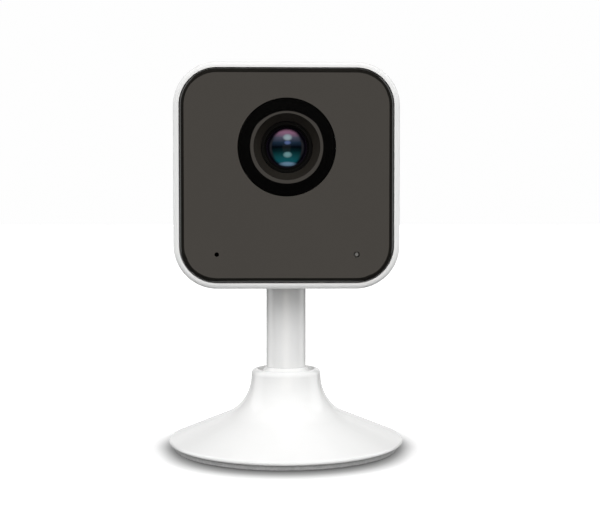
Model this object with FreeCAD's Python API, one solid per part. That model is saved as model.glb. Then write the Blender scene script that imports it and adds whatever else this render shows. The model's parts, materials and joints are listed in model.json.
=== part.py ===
"""Indoor security camera on a flared magnetic stand, as separate pieces.

Millimetres. +Z is up, the lens looks along -Y, and the origin lies on the surface under
the centre of the base. The stem stands on the Z axis: a ball at its foot turns and leans
in the neck of the base, and a screw at its top is the head's tilt hinge.
"""

import FreeCAD, Part
import math
import os

V = FreeCAD.Vector
X_AXIS, Y_AXIS, Z_AXIS = V(1, 0, 0), V(0, 1, 0), V(0, 0, 1)

# ---------------------------------------------------------------- driving sizes
overall_height = 102.9
base_diameter = 64.0
head_width = 58.5
head_height = 58.5
head_depth = 33.0
head_corner_radius = 11.3
stem_to_front = 18.0  # stem axis to the casing's front rim
stem_diameter = 10.8
sliding_gap = 0.1  # between pieces that are assembled face beside face
running_gap = 0.05  # a shaft in its bore, on the radius
screw_hole_gap = 0.15  # round a screw that passes through
screw_head_gap = 0.2  # round a sunk screw head
blind_hole_gap = 0.5  # beyond a screw's tip

# casing
wall = 1.8
casing_front_edge_radius = 1.2
casing_rear_edge_radius = 6.0
front_housing_depth = 7.6
bulkhead_thickness = 1.4
tongue_length = 1.5
tongue_thickness = 1.0
case_screw_inset = 6.6  # corner screws, in from the casing's sides
case_boss_radius = 3.2
case_screw_radius = 1.3
case_screw_head_radius = 2.4
case_screw_head_height = 1.6
case_screw_sink = 1.8  # head's seat, behind the bulkhead's front

# front panel
panel_border = 1.65  # white rim left showing round the panel
panel_gap = 0.15
panel_thickness = 2.3
panel_proud = 0.9
panel_edge_radius = 1.3
tape_thickness = 0.2
tape_width = 3.0
tape_inset = 0.5
pinhole_offset_x = 18.0  # microphone hole and status light, from the middle
pinhole_above_panel_bottom = 7.3
microphone_hole_radius = 0.58
status_hole_radius = 0.8

# lens
lens_above_head_centre = 7.25
hood_base_radius = 12.45
hood_gap = 0.2
hood_rim_radius = 9.5
hood_rim_width = 0.95
hood_proud = 1.9
hood_throat_radius = 6.55
hood_throat_depth = 3.2
hood_flange_width = 1.7
hood_flange_thickness = 1.2
barrel_recess = 2.6  # barrel's front, behind the hood's rim
barrel_head_length = 5.7
barrel_thread_radius = 6.0
barrel_thread_length = 8.0
glass_radius = 5.1
glass_visible_radius = 4.75
glass_curve_radius = 7.6
middle_glass_radius = 4.0
rear_glass_radius = 3.2
glass_fit = 0.1
middle_lens_curve = 8.0
ring_seat_depth = 1.6  # front glass's seat for its ring, behind the barrel's front
front_glass_depth = 2.6
front_glass_back_curve = 4.4
front_glass_back_radius = 3.6
middle_glass_depth = 4.6  # its rear seat, behind the front glass
middle_glass_setback = 1.7
middle_glass_back_curve = 9.0
rear_glass_front_curve = 9.0
rear_glass_back_curve = 7.0
rear_glass_edge = 1.2
rear_seat_width = 0.5
rear_seat_thickness = 0.6
spacer_wall = 0.4
glass_seat_gap = 0.02
barrel_front_wall = 0.5

# lens holder and the swinging infrared filter
holder_tube_wall = 1.75
holder_tube_length = 6.5
holder_half_width = 13.0
holder_below_axis = 6.0
holder_above_axis = 12.6
holder_wall = 1.0
holder_base_depth = 6.0
filter_pivot_above_axis = 9.0
filter_swing_deg = 42.0
filter_window_radius = 2.7
filter_blade_rim = 0.8
filter_blade_thickness = 0.8
filter_pivot_radius = 0.6
filter_magnet_radius = 1.9
filter_arm_width = 2.6
filter_gap = 0.15  # blade to the holder's front wall
holder_front_wall = 1.75
coil_gap = 0.3
coil_pole_width = 2.0
coil_width = 4.0

# boards
main_board_y = 1.0  # front face
main_board_thickness = 1.2
board_edge_gap = 2.7
front_board_gap = 1.8  # bulkhead to front board
front_board_thickness = 1.0
io_board_thickness = 1.0
board_stack_gap = 5.6  # lower board's top face to the main board's lower edge
io_board_front_y = -0.5
io_board_rear_margin = 1.7  # the socket and button overhang the board's rear edge by this
sensor_width, sensor_height, sensor_thickness = 8.4, 7.8, 1.0
processor_size = 12.0
processor_height = 1.0
thermal_pad_thickness = 0.8
heat_sink_width = 13.0
heat_sink_base = 1.0
heat_sink_height = 3.2
heat_sink_fins = 5
switch_depth = 3.5
switch_height = 4.0
switch_width = 6.0
ribbon_x = 8.0
ribbon_width = 8.0
ribbon_sheet = 0.3
connector_height = 1.2
antenna_width = 28.0
antenna_thickness = 0.3
antenna_lead_radius = 0.55
antenna_lead_x = 8.0
antenna_lead_bend = 2.0
infrared_led_size = 3.5
infrared_led_thickness = 0.9
infrared_led_dome = 1.4
infrared_window = 4.4
light_pipe_radius = 0.45
light_pipe_collar = 1.8
light_pipe_recess = 0.15  # tip, behind the panel's face
status_led_thickness = 0.6
microphone_width, microphone_height, microphone_thickness = 3.0, 2.6, 1.1
microphone_boot_radius = 1.45
microphone_boot_bore = 0.5
board_post_radius = 2.4
board_screw_radius = 1.0
board_screw_head_radius = 2.1
board_screw_head_height = 1.4
board_screw_length = 7.5
upper_post_inset_x = 10.6  # from the cavity's corner towards the middle
upper_post_inset_z = 4.7
lower_post_inset_x = 6.7

# rear wall
speaker_radius = 10.0
speaker_above_head_centre = 11.0
speaker_depth = 4.6
grille_hole_radius = 0.65
grille_rings = 4
grille_ring_pitch = 2.2
port_offset_x = 10.0
port_width, port_height, port_length = 7.5, 2.6, 5.4
port_cutout_margin = 0.35
button_radius = 1.7
button_collar_width = 0.8
button_recess = 0.3
switch_setback = 3.2  # switch body, in from the rear wall
plunger_radius = 0.85
plunger_proud = 0.8
speaker_gasket_thickness = 0.6
speaker_gasket_width = 1.6
speaker_basket_depth = 2.2
socket_sheet = 0.3
socket_recess = 0.5
socket_corner_radius = 0.7

# tilt hinge in the head
hinge_above_head_bottom = 6.5
tilt_down_deg = 12.0
slot_gap = 0.4
pocket_wall = 1.2
knuckle_half_width = 5.0
knuckle_flat_reach = 6.2  # flats run this far from the hinge axis
ear_inner_boss_radius = 4.6
ear_outer_boss_radius = 5.0
ear_outer_boss_height = 1.6
hinge_screw_radius = 1.5
friction_washer_thickness = 0.25
hinge_screw_head_radius = 2.75
hinge_screw_head_height = 2.0
hinge_screw_past_nut = 0.9
spring_washer_height = 0.7
spring_washer_sheet = 0.3
spring_washer_radius = 3.2
nut_across_flats = 5.5
nut_thickness = 2.4

# ball joint in the base
ball_radius = 7.5
ball_seat_gap = 0.15
seat_wall = 0.55
seat_floor = 0.45
seat_bore_radius = 3.8
thrust_spring_bore_radius = 4.4
thrust_spring_sheet = 0.35
ball_above_surface = 16.8
trunnion_radius = 1.2
trunnion_gap = 0.08
trunnion_reach = 0.5
spigot_radius = 3.2
spigot_length = 6.0
stem_screw_seat_depth = 3.9  # screw head's seat, below the ball's centre
stem_screw_length = 16.0
stem_screw_radius = 1.45
stem_screw_head_radius = 2.75
stem_screw_head_height = 2.0

# base
foot_height = 1.4
foot_inset = 1.2
foot_groove_shares = (0.42, 0.7)  # of the foot's radius
foot_groove_width = 1.2
foot_groove_depth = 0.35
foot_edge_radius = 0.3
rim_radius = 0.6
neck_radius = 9.5
neck_top_z = 21.4
neck_shoulder_radius = 1.4
neck_mouth_radius = 7.9
neck_lip_height = 0.6
flare_radius = 11.6
flare_top_z = 19.5
shell_wall = 1.6
boss_wall = 1.7
boss_bottom_z = 7.6
plate_radius = 26.0
plate_thickness = 1.4
plate_gap = 0.2
plate_screw_circle = 22.5
plate_post_radius = 2.6
retainer_thickness = 1.6
retainer_bore_radius = 3.6
retainer_screw_circle = 12.2
retainer_post_radius = 2.3
base_screw_radius = 0.9
base_screw_length = 3.4
base_screw_head_radius = 1.8
base_screw_head = 0.8
base_screw_sink = 0.9  # head's seat, above the plate's underside
magnet_radius = 9.0
magnet_thickness = 2.8
weight_thickness = 1.8

# ---------------------------------------------------------------- places worked out
base_radius = base_diameter / 2
head_centre_z = overall_height - head_height / 2
head_bottom_z = overall_height - head_height
head_front_y = -stem_to_front
head_rear_y = head_front_y + head_depth
parting_y = head_front_y + front_housing_depth
cavity_width = head_width - 2 * wall
cavity_height = head_height - 2 * wall
cavity_corner_radius = head_corner_radius - wall
cavity_bottom_z = head_bottom_z + wall
cavity_top_z = overall_height - wall
cavity_rear_y = head_rear_y - wall

panel_width = head_width - 2 * panel_border
panel_height = head_height - 2 * panel_border
panel_corner_radius = head_corner_radius - panel_border
panel_front_y = head_front_y - panel_proud
panel_back_y = panel_front_y + panel_thickness
bulkhead_front_y = panel_back_y + tape_thickness
bulkhead_back_y = bulkhead_front_y + bulkhead_thickness
pinhole_z = head_centre_z - panel_height / 2 + pinhole_above_panel_bottom

lens_z = head_centre_z + lens_above_head_centre
hood_front_y = panel_front_y - hood_proud
hood_flange_radius = hood_base_radius + hood_flange_width
barrel_front_y = hood_front_y + barrel_recess
barrel_head_back_y = barrel_front_y + barrel_head_length
barrel_back_y = barrel_head_back_y + barrel_thread_length
ring_seat_y = barrel_front_y + ring_seat_depth
front_glass_back_y = ring_seat_y + front_glass_depth
middle_glass_front_y = front_glass_back_y + middle_glass_setback
middle_glass_back_y = front_glass_back_y + middle_glass_depth
rear_seat_y = barrel_back_y - rear_seat_thickness
holder_back_y = main_board_y
holder_base_front_y = holder_back_y - holder_base_depth
holder_tube_front_y = holder_base_front_y - holder_tube_length
filter_pivot_z = lens_z + filter_pivot_above_axis
filter_blade_front_y = holder_base_front_y + holder_front_wall + filter_gap
filter_blade_back_y = filter_blade_front_y + filter_blade_thickness

case_screw_tip_y = main_board_y - 1.8
main_board_back_y = main_board_y + main_board_thickness
main_board_width = cavity_width - 2 * board_edge_gap
main_board_top_z = cavity_top_z - board_edge_gap
front_board_y = bulkhead_back_y + front_board_gap
front_board_back_y = front_board_y + front_board_thickness

hinge_z = head_bottom_z + hinge_above_head_bottom
stem_radius = stem_diameter / 2
slot_half = stem_radius + slot_gap
pocket_half = slot_half + pocket_wall
knuckle_clearance_radius = stem_radius + 0.6
slot_nose_y = -hinge_above_head_bottom * math.tan(math.radians(tilt_down_deg))
pocket_top_z = hinge_z + knuckle_clearance_radius + pocket_wall
io_board_z = pocket_top_z + 2.3
io_board_top_z = io_board_z + io_board_thickness
io_board_back_y = cavity_rear_y - io_board_rear_margin
main_board_bottom_z = io_board_top_z + board_stack_gap
io_axis_z = io_board_top_z + switch_height / 2  # reset button and its switch
switch_face_y = cavity_rear_y - switch_setback
speaker_z = head_centre_z + speaker_above_head_centre

ball_z = ball_above_surface
ball_top_z = ball_z + math.sqrt(ball_radius**2 - stem_radius**2)
seat_sphere_radius = ball_radius + ball_seat_gap
seat_outer_radius = seat_sphere_radius + seat_wall
neck_bore_radius = seat_outer_radius + sliding_gap
neck_lip_radius = ball_radius - 0.25
neck_lip_bottom_z = ball_z + 2.3
boss_radius = neck_bore_radius + boss_wall
plate_top_z = foot_height + plate_thickness
retainer_bottom_z = boss_bottom_z - retainer_thickness
seat_bottom_z = ball_z - seat_sphere_radius - seat_floor

case_screw_places = [
    (sx * (head_width / 2 - case_screw_inset), head_centre_z + sz * (head_height / 2 - case_screw_inset))
    for sx in (-1, 1)
    for sz in (-1, 1)
]
board_post_places = [
    (sx * (cavity_width / 2 - upper_post_inset_x - 2.6), cavity_top_z - upper_post_inset_z)
    for sx in (-1, 1)
] + [(sx * (cavity_width / 2 - lower_post_inset_x), main_board_bottom_z + 3.2) for sx in (-1, 1)]
infrared_led_places = [(sx * 18.2, lens_z + sz * 6.0) for sx in (-1, 1) for sz in (-1, 1)]
io_post_places = [(sx * 17.0, io_board_back_y - 4.0) for sx in (-1, 1)]
processor_x = -cavity_width / 2 + board_edge_gap + heat_sink_width / 2 + 1.0
processor_z = main_board_bottom_z + heat_sink_width / 2 + 7.2
ribbon_top_z = main_board_bottom_z + 0.6
antenna_back_y = cavity_rear_y - casing_rear_edge_radius + wall - 0.4


# ---------------------------------------------------------------- solid helpers
def box(x0, x1, y0, y1, z0, z1):
    return Part.makeBox(x1 - x0, y1 - y0, z1 - z0, V(x0, y0, z0))


def rod_x(radius, x0, x1, y=0.0, z=0.0):
    return Part.makeCylinder(radius, x1 - x0, V(x0, y, z), X_AXIS)


def rod_y(radius, y0, y1, x=0.0, z=0.0):
    return Part.makeCylinder(radius, y1 - y0, V(x, y0, z), Y_AXIS)


def rod_z(radius, z0, z1, x=0.0, y=0.0):
    return Part.makeCylinder(radius, z1 - z0, V(x, y, z0), Z_AXIS)


def ball(radius, z):
    return Part.makeSphere(radius, V(0, 0, z))


def fused(shapes):
    first, *rest = shapes
    return first.multiFuse(rest).removeSplitter() if rest else first


def without(shape, *cutters):
    return shape.cut(Part.makeCompound(list(cutters))) if len(cutters) > 1 else shape.cut(cutters[0])


def edges_at_y(shape, y):
    return [e for e in shape.Edges if all(abs(v.Y - y) < 1e-6 for v in e.Vertexes)]


def rounded_block(width, height, corner_radius, y0, y1, centre_z=None):
    """A block with round corners seen along Y, centred on the head unless told otherwise."""
    z = head_centre_z if centre_z is None else centre_z
    hw, hh, r = width / 2, height / 2, corner_radius
    c = r * math.sqrt(0.5)
    edges = []
    for sx, sz in ((1, 1), (-1, 1), (-1, -1), (1, -1)):
        cx, cz = sx * (hw - r), z + sz * (hh - r)
        on_side, on_end = V(cx + sx * r, y0, cz), V(cx, y0, cz + sz * r)
        middle = V(cx + sx * c, y0, cz + sz * c)
        start, end = (on_side, on_end) if sx == sz else (on_end, on_side)
        edges.append((start, middle, end))
    wire = []
    for i, (start, middle, end) in enumerate(edges):
        wire.append(Part.Arc(start, middle, end).toShape())
        wire.append(Part.LineSegment(end, edges[(i + 1) % 4][0]).toShape())
    return Part.Face(Part.Wire(Part.__sortEdges__(wire))).extrude(V(0, y1 - y0, 0))


def profile_face(steps):
    """A closed face in the X-Z plane: a step is a point (r, h), or a pair (through, to) for an arc."""
    edges, here = [], steps[0]
    for step in list(steps[1:]) + [steps[0]]:
        if isinstance(step[0], tuple):
            through, there = step
            arc = Part.Arc(*[V(p[0], 0, p[1]) for p in (here, through, there)])
            edges.append(arc.toShape())
        else:
            there = step
            edges.append(Part.LineSegment(V(here[0], 0, here[1]), V(there[0], 0, there[1])).toShape())
        here = there
    return Part.Face(Part.Wire(edges))


def turned_z(steps):
    """A solid of revolution about the Z axis; each point is (radius, z)."""
    return profile_face(steps).revolve(V(0, 0, 0), Z_AXIS, 360)


def turned_y(steps, x=0.0, z=None):
    """A solid of revolution about an axis along Y; each point is (radius, y)."""
    shape = profile_face(steps).revolve(V(0, 0, 0), Z_AXIS, 360)
    shape.rotate(V(0, 0, 0), X_AXIS, -90)  # the profile's height becomes +Y
    shape.translate(V(x, 0, lens_z if z is None else z))
    return shape


def ring_places(count, radius, start_deg=0.0):
    return [
        (radius * math.cos(math.radians(start_deg + 360 * i / count)),
         radius * math.sin(math.radians(start_deg + 360 * i / count)))
        for i in range(count)
    ]


def screw(head_radius, head_height, shank_radius, length):
    """A cross-head screw along +Z: the head lies below z = 0, the shank above."""
    shape = fused([rod_z(head_radius, -head_height, 0), rod_z(shank_radius, -0.1, length)])
    arm, bar, depth = head_radius * 0.62, head_radius * 0.16, head_height * 0.6
    for a, b in ((arm, bar), (bar, arm)):
        shape = shape.cut(box(-a, a, -b, b, -head_height - 0.1, -head_height + depth))
    return shape


def downwards(shape, x, y, z):
    """Turns a screw made along +Z so that its shank points down."""
    moved = shape.copy()
    moved.rotate(V(0, 0, 0), X_AXIS, 180)
    moved.translate(V(x, y, z))
    return moved


def along_y(shape, x, y, z, direction):
    """Turns a screw made along +Z so that its shank points along +Y or -Y."""
    moved = shape.copy()
    moved.rotate(V(0, 0, 0), X_AXIS, -90 * direction)
    moved.translate(V(x, y, z))
    return moved


# ---------------------------------------------------------------- base
def flare_tangent():
    """Ends of the straight stretch between the neck's hollow curve and the rim's round edge."""
    cx, cz = neck_radius + flare_radius, flare_top_z
    rx, rz = base_radius - rim_radius, foot_height + rim_radius
    distance = math.hypot(rx - cx, rz - cz)
    slope = -math.atan2(rz - cz, rx - cx) - math.asin((flare_radius + rim_radius) / distance)
    s, c = math.sin(slope), math.cos(slope)
    return (cx, cz), (rx, rz), (s, c)


def flare_profile(inset):
    """Outer surface moved inwards by inset: (top of curve, middle, foot of curve, end of straight)."""
    (cx, cz), (rx, rz), (s, c) = flare_tangent()
    r, e = flare_radius + inset, rim_radius - inset
    half = (math.pi / 2 - math.asin(s)) / 2
    top = (cx - r, cz)
    middle = (cx - r * math.cos(half), cz - r * math.sin(half))
    foot = (cx - r * s, cz - r * c)
    end = (rx + e * s, rz + e * c)
    return top, middle, foot, end


def base_outer():
    top, middle, foot, end = flare_profile(0.0)
    _, (rx, rz), (s, c) = flare_tangent()
    low = math.radians(-30)
    shoulder = neck_shoulder_radius
    k = shoulder * math.sqrt(0.5)
    return turned_z([
        (0, foot_height),
        (rx, foot_height),
        ((rx + rim_radius * math.cos(low), rz + rim_radius * math.sin(low)), end),
        foot,
        (middle, top),
        (neck_radius, neck_top_z - shoulder),
        ((neck_radius - shoulder + k, neck_top_z - shoulder + k), (neck_radius - shoulder, neck_top_z)),
        (0, neck_top_z),
    ])


def base_hollow():
    """Space under the flare, round the neck's inner boss, open downwards."""
    top, middle, foot, end = flare_profile(shell_wall)
    (cx, cz), _, _ = flare_tangent()
    r = flare_radius + shell_wall
    start_angle = math.acos(min(1.0, (cx - boss_radius) / r))
    start = (boss_radius, cz - r * math.sin(start_angle))
    foot_angle = math.atan2(cz - foot[1], cx - foot[0])
    mid_angle = (start_angle + foot_angle) / 2
    through = (cx - r * math.cos(mid_angle), cz - r * math.sin(mid_angle))
    edge = plate_radius + plate_gap
    fall = (foot[1] - end[1]) / (end[0] - foot[0])
    edge_z = max(foot[1] - fall * (edge - foot[0]), plate_top_z)
    return turned_z([
        (boss_radius, boss_bottom_z),
        (0, boss_bottom_z),
        (0, foot_height - 1),
        (edge, foot_height - 1),
        (edge, edge_z),
        foot,
        (through, start),
    ])


def neck_bore():
    return fused([
        rod_z(neck_bore_radius, boss_bottom_z - 1, neck_lip_bottom_z),
        turned_z([
            (0, neck_lip_bottom_z - 1),
            (neck_lip_radius, neck_lip_bottom_z - 1),
            (neck_lip_radius, neck_lip_bottom_z + neck_lip_height),
            (neck_mouth_radius, neck_top_z),
            (neck_mouth_radius, neck_top_z + 1),
            (0, neck_top_z + 1),
        ]),
    ])


plate_screw_places = ring_places(3, plate_screw_circle, 90)
retainer_screw_places = ring_places(3, retainer_screw_circle, 30)


def base_shell():
    outer = base_outer()
    shell = outer.cut(base_hollow())
    posts = [rod_z(plate_post_radius, plate_top_z, flare_top_z, x, y) for x, y in plate_screw_places]
    posts += [rod_z(retainer_post_radius, boss_bottom_z, flare_top_z, x, y) for x, y in retainer_screw_places]
    shell = fused([shell] + [post.common(outer) for post in posts])
    pilot, depth = base_screw_radius + running_gap, base_screw_length - 0.2
    holes = [rod_z(pilot, foot_height, foot_height + base_screw_sink + depth + 0.4, x, y)
             for x, y in plate_screw_places]
    holes += [rod_z(pilot, retainer_bottom_z, retainer_bottom_z + depth + 0.4, x, y)
              for x, y in retainer_screw_places]
    return without(shell, neck_bore(), *holes)


def bottom_plate():
    plate = rod_z(plate_radius, foot_height, plate_top_z)
    for x, y in plate_screw_places:
        plate = plate.cut(rod_z(base_screw_radius + screw_hole_gap, foot_height - 1, plate_top_z + 1, x, y))
        plate = plate.cut(rod_z(base_screw_head_radius + screw_head_gap, foot_height - 1,
                                foot_height + base_screw_sink, x, y))
    return plate


def foot_pad():
    radius = base_radius - foot_inset
    pad = rod_z(radius, 0, foot_height)
    half = foot_groove_width / 2
    for share in foot_groove_shares:
        ring = rod_z(radius * share + half, -1, foot_groove_depth).cut(rod_z(radius * share - half, -2, 1))
        pad = pad.cut(ring)
    lower_edge = [e for e in pad.Edges if abs(e.BoundBox.XLength - 2 * radius) < 0.01
                  and abs(e.BoundBox.ZMax) < 1e-6 and e.Closed]
    return pad.makeFillet(foot_edge_radius, lower_edge)


def base_screws():
    """Three hold the bottom plate and three the seat retainer, all alike."""
    one = screw(base_screw_head_radius, base_screw_head, base_screw_radius, base_screw_length)
    places = [(x, y, foot_height + base_screw_sink) for x, y in plate_screw_places]
    places += [(x, y, retainer_bottom_z) for x, y in retainer_screw_places]
    out = []
    for x, y, z in places:
        s = one.copy()
        s.translate(V(x, y, z))
        out.append(s)
    return out


def seat_retainer():
    disc = rod_z(retainer_screw_circle + retainer_post_radius, retainer_bottom_z, boss_bottom_z)
    holes = [rod_z(base_screw_radius + screw_hole_gap, retainer_bottom_z - 1, boss_bottom_z + 1, x, y)
             for x, y in retainer_screw_places]
    return without(disc, rod_z(retainer_bore_radius, retainer_bottom_z - 1, boss_bottom_z + 1), *holes)


def thrust_spring():
    """Conical spring washer that presses the lower seat against the ball."""
    outer, inner, sheet = neck_bore_radius - 0.3, thrust_spring_bore_radius, thrust_spring_sheet
    low, high = boss_bottom_z, seat_bottom_z - 0.05
    return turned_z([(inner, high - sheet), (outer, low), (outer, low + sheet), (inner, high)])


def base_weight():
    outer = plate_screw_circle - plate_post_radius - 0.4
    ring = rod_z(outer, plate_top_z, plate_top_z + weight_thickness)
    return ring.cut(rod_z(magnet_radius + 0.5, plate_top_z - 1, plate_top_z + weight_thickness + 1))


def base_magnet():
    return rod_z(magnet_radius, plate_top_z, plate_top_z + magnet_thickness)


# ---------------------------------------------------------------- turning seat and stem
def trunnion_slot():
    return rod_x(trunnion_radius + trunnion_gap, -seat_outer_radius - 1, seat_outer_radius + 1, z=ball_z)


def upper_seat():
    ring = rod_z(seat_outer_radius, ball_z + 0.1, neck_lip_bottom_z - sliding_gap)
    return without(ring, ball(seat_sphere_radius, ball_z), trunnion_slot())


def lower_seat():
    cup = rod_z(seat_outer_radius, seat_bottom_z, ball_z - 0.1)
    return without(cup, ball(seat_sphere_radius, ball_z), trunnion_slot(), rod_z(seat_bore_radius, 0, ball_z))


def stem_ball():
    """Ball with side pins that lean in the seat, and a spigot that the stem turns on."""
    body = ball(ball_radius, ball_z).common(rod_z(ball_radius + 1, 0, ball_top_z))
    spigot = rod_z(spigot_radius, ball_z, ball_top_z + spigot_length)
    reach = ball_radius + trunnion_reach
    body = fused([body, spigot, rod_x(trunnion_radius, -reach, reach, z=ball_z)])
    return without(
        body,
        rod_z(stem_screw_radius + running_gap, 0, ball_top_z + spigot_length + 1),
        rod_z(stem_screw_head_radius + screw_head_gap, 0, ball_z - stem_screw_seat_depth),
    )


def stem_screw():
    s = screw(stem_screw_head_radius, stem_screw_head_height, stem_screw_radius, stem_screw_length)
    s.translate(V(0, 0, ball_z - stem_screw_seat_depth - running_gap))
    return s


def stem():
    """Round post with a flat-sided knuckle at its top, bored for the hinge screw."""
    post = rod_z(stem_radius, ball_top_z + running_gap, hinge_z)
    knuckle = rod_x(stem_radius, -stem_radius, stem_radius, z=hinge_z)
    body = fused([post, knuckle])
    for side in (-1, 1):
        x0, x1 = sorted((side * knuckle_half_width, side * (stem_radius + 1)))
        body = body.cut(box(x0, x1, -10, 10, hinge_z - knuckle_flat_reach, hinge_z + stem_radius + 1))
    socket = rod_z(spigot_radius + running_gap, ball_top_z, ball_top_z + spigot_length + 0.2)
    pilot_top = ball_z - stem_screw_seat_depth + stem_screw_length + blind_hole_gap
    pilot = rod_z(stem_screw_radius + running_gap, ball_top_z, pilot_top)
    bore = rod_x(hinge_screw_radius + running_gap, -stem_radius - 1, stem_radius + 1, z=hinge_z)
    return without(body, fused([socket, pilot]), bore)


# ---------------------------------------------------------------- casing
def front_panel():
    panel = rounded_block(panel_width, panel_height, panel_corner_radius, panel_front_y, panel_back_y)
    panel = panel.makeFillet(panel_edge_radius, edges_at_y(panel, panel_front_y))
    return without(
        panel,
        rod_y(hood_base_radius + hood_gap, panel_front_y - 1, panel_back_y + 1, z=lens_z),
        rod_y(microphone_hole_radius, panel_front_y - 1, panel_back_y + 1, -pinhole_offset_x, pinhole_z),
        rod_y(status_hole_radius, panel_front_y - 1, panel_back_y + 1, pinhole_offset_x, pinhole_z),
    )


def panel_tape():
    inset = 2 * tape_inset
    outer = rounded_block(panel_width - inset, panel_height - inset, panel_corner_radius - tape_inset,
                          panel_back_y, bulkhead_front_y)
    inner_inset = inset + 2 * tape_width
    inner_corner = panel_corner_radius - tape_inset - tape_width
    inner = rounded_block(panel_width - inner_inset, panel_height - inner_inset, inner_corner,
                          panel_back_y - 1, bulkhead_front_y + 1)
    return outer.cut(inner)


def front_housing():
    outer = rounded_block(head_width, head_height, head_corner_radius, head_front_y, parting_y)
    outer = outer.makeFillet(casing_front_edge_radius, edges_at_y(outer, head_front_y))
    recess = rounded_block(panel_width + 2 * panel_gap, panel_height + 2 * panel_gap,
                           panel_corner_radius + panel_gap, head_front_y - 1, bulkhead_front_y)
    cavity = rounded_block(cavity_width, cavity_height, cavity_corner_radius, bulkhead_back_y, parting_y + 1)
    shell = without(outer, recess, cavity)

    tongue_inner = rounded_block(cavity_width - 2 * tongue_thickness - 0.2,
                                 cavity_height - 2 * tongue_thickness - 0.2,
                                 cavity_corner_radius - tongue_thickness, parting_y - 3, parting_y + 3)
    root = rounded_block(cavity_width, cavity_height, cavity_corner_radius, parting_y - 1.5, parting_y)
    tongue_tip_y = parting_y + tongue_length
    inside_cover = rounded_block(cavity_width - 2 * sliding_gap, cavity_height - 2 * sliding_gap,
                                 cavity_corner_radius - sliding_gap, parting_y - 0.5, tongue_tip_y)
    rim = fused([root, inside_cover]).cut(tongue_inner)

    bosses = [rod_y(case_boss_radius, bulkhead_back_y - 0.2, parting_y, x, z) for x, z in case_screw_places]
    bosses += [rod_y(case_boss_radius, parting_y - 0.5, tongue_tip_y, x, z).common(inside_cover)
               for x, z in case_screw_places]
    posts = [rod_y(board_post_radius, bulkhead_back_y - 0.2, main_board_y, x, z) for x, z in board_post_places]
    shell = fused([shell, rim] + bosses + posts)

    front, back = bulkhead_front_y - 1, bulkhead_back_y + 1
    cuts = [
        rod_y(hood_base_radius + hood_gap, front, back, z=lens_z),
        rod_y(microphone_hole_radius + 0.2, front, back, -pinhole_offset_x, pinhole_z),
        rod_y(status_hole_radius + 0.4, front, back, pinhole_offset_x, pinhole_z),
    ]
    half = infrared_window / 2
    cuts += [box(x - half, x + half, front, back, z - half, z + half) for x, z in infrared_led_places]
    cuts += [rod_y(case_screw_radius + running_gap, front, parting_y + 3, x, z) for x, z in case_screw_places]
    cuts += [rod_y(case_screw_head_radius + screw_head_gap, front, bulkhead_front_y + case_screw_sink, x, z)
             for x, z in case_screw_places]
    tip_y = main_board_back_y - board_screw_length
    cuts += [rod_y(board_screw_radius + running_gap, tip_y - blind_hole_gap, main_board_y + 1, x, z)
             for x, z in board_post_places]
    cuts.append(stem_pocket(pocket_wall + sliding_gap))
    return without(shell, *cuts)


def stem_pocket(grow):
    """Space the stem swings in, or with grow the outside of the wall round it."""
    half, round_radius = slot_half + grow, knuckle_clearance_radius + grow
    return fused([
        rod_x(round_radius, -half, half, z=hinge_z),
        rod_y(half, 0, head_rear_y + 1, z=hinge_z),
        rod_z(half, head_bottom_z - 1, hinge_z, y=slot_nose_y),
        box(-half, half, slot_nose_y, head_rear_y + 1, head_bottom_z - 1, hinge_z),
    ])


def grille_places():
    places = [(0.0, 0.0)]
    for ring in range(1, grille_rings):
        places += ring_places(6 * ring, ring * grille_ring_pitch)
    return [(x, speaker_z + z) for x, z in places]


def rear_cover():
    outer = rounded_block(head_width, head_height, head_corner_radius, parting_y, head_rear_y)
    outer = outer.makeFillet(casing_rear_edge_radius, edges_at_y(outer, head_rear_y))
    cavity = rounded_block(cavity_width, cavity_height, cavity_corner_radius, parting_y - 1, cavity_rear_y)
    cavity = cavity.makeFillet(casing_rear_edge_radius - wall, edges_at_y(cavity, cavity_rear_y))
    shell = outer.cut(cavity)

    boss_front_y, boss_back_y = parting_y + tongue_length + sliding_gap, main_board_y - blind_hole_gap
    added = [stem_pocket(pocket_wall).common(outer)]
    for x, z in case_screw_places:
        sx, sz = math.copysign(1, x), math.copysign(1, z - head_centre_z)
        web = box(0, 6, boss_front_y, boss_back_y, -1.2, 1.2)
        web.rotate(V(0, 0, 0), Y_AXIS, -math.degrees(math.atan2(sz, sx)))
        web.translate(V(x, 0, z))
        added += [rod_y(case_boss_radius, boss_front_y, boss_back_y, x, z), web.common(outer)]
    ear = pocket_half + ear_outer_boss_height
    added.append(rod_x(ear_outer_boss_radius, -ear, ear, z=hinge_z).common(outer))
    added += [rod_z(2.4, cavity_bottom_z - 0.2, io_board_z, x, y) for x, y in io_post_places]
    shell = fused([shell] + added)

    ear_inner = knuckle_half_width + friction_washer_thickness + running_gap
    pocket = stem_pocket(0.0)
    for side in (-1, 1):
        x0, x1 = sorted((side * ear_inner, side * (slot_half + 0.5)))
        pocket = pocket.cut(rod_x(ear_inner_boss_radius, x0, x1, z=hinge_z))
    cuts = [pocket, rod_x(hinge_screw_radius + running_gap, -ear - 1, ear + 1, z=hinge_z)]
    cuts += [rod_y(case_screw_radius + running_gap, parting_y, case_screw_tip_y + blind_hole_gap / 2, x, z)
             for x, z in case_screw_places]
    tip_z = io_board_top_z - board_screw_length
    cuts += [rod_z(board_screw_radius + running_gap, tip_z - blind_hole_gap, io_board_z + 1, x, y)
             for x, y in io_post_places]
    cuts += [rod_y(grille_hole_radius, cavity_rear_y - 1, head_rear_y + 1, x, z) for x, z in grille_places()]
    port = port_opening(port_cutout_margin)
    cuts.append(port)
    cuts.append(rod_y(button_radius + 0.2, cavity_rear_y - 1, head_rear_y + 1, port_offset_x, io_axis_z))
    return without(shell, *cuts)


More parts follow.
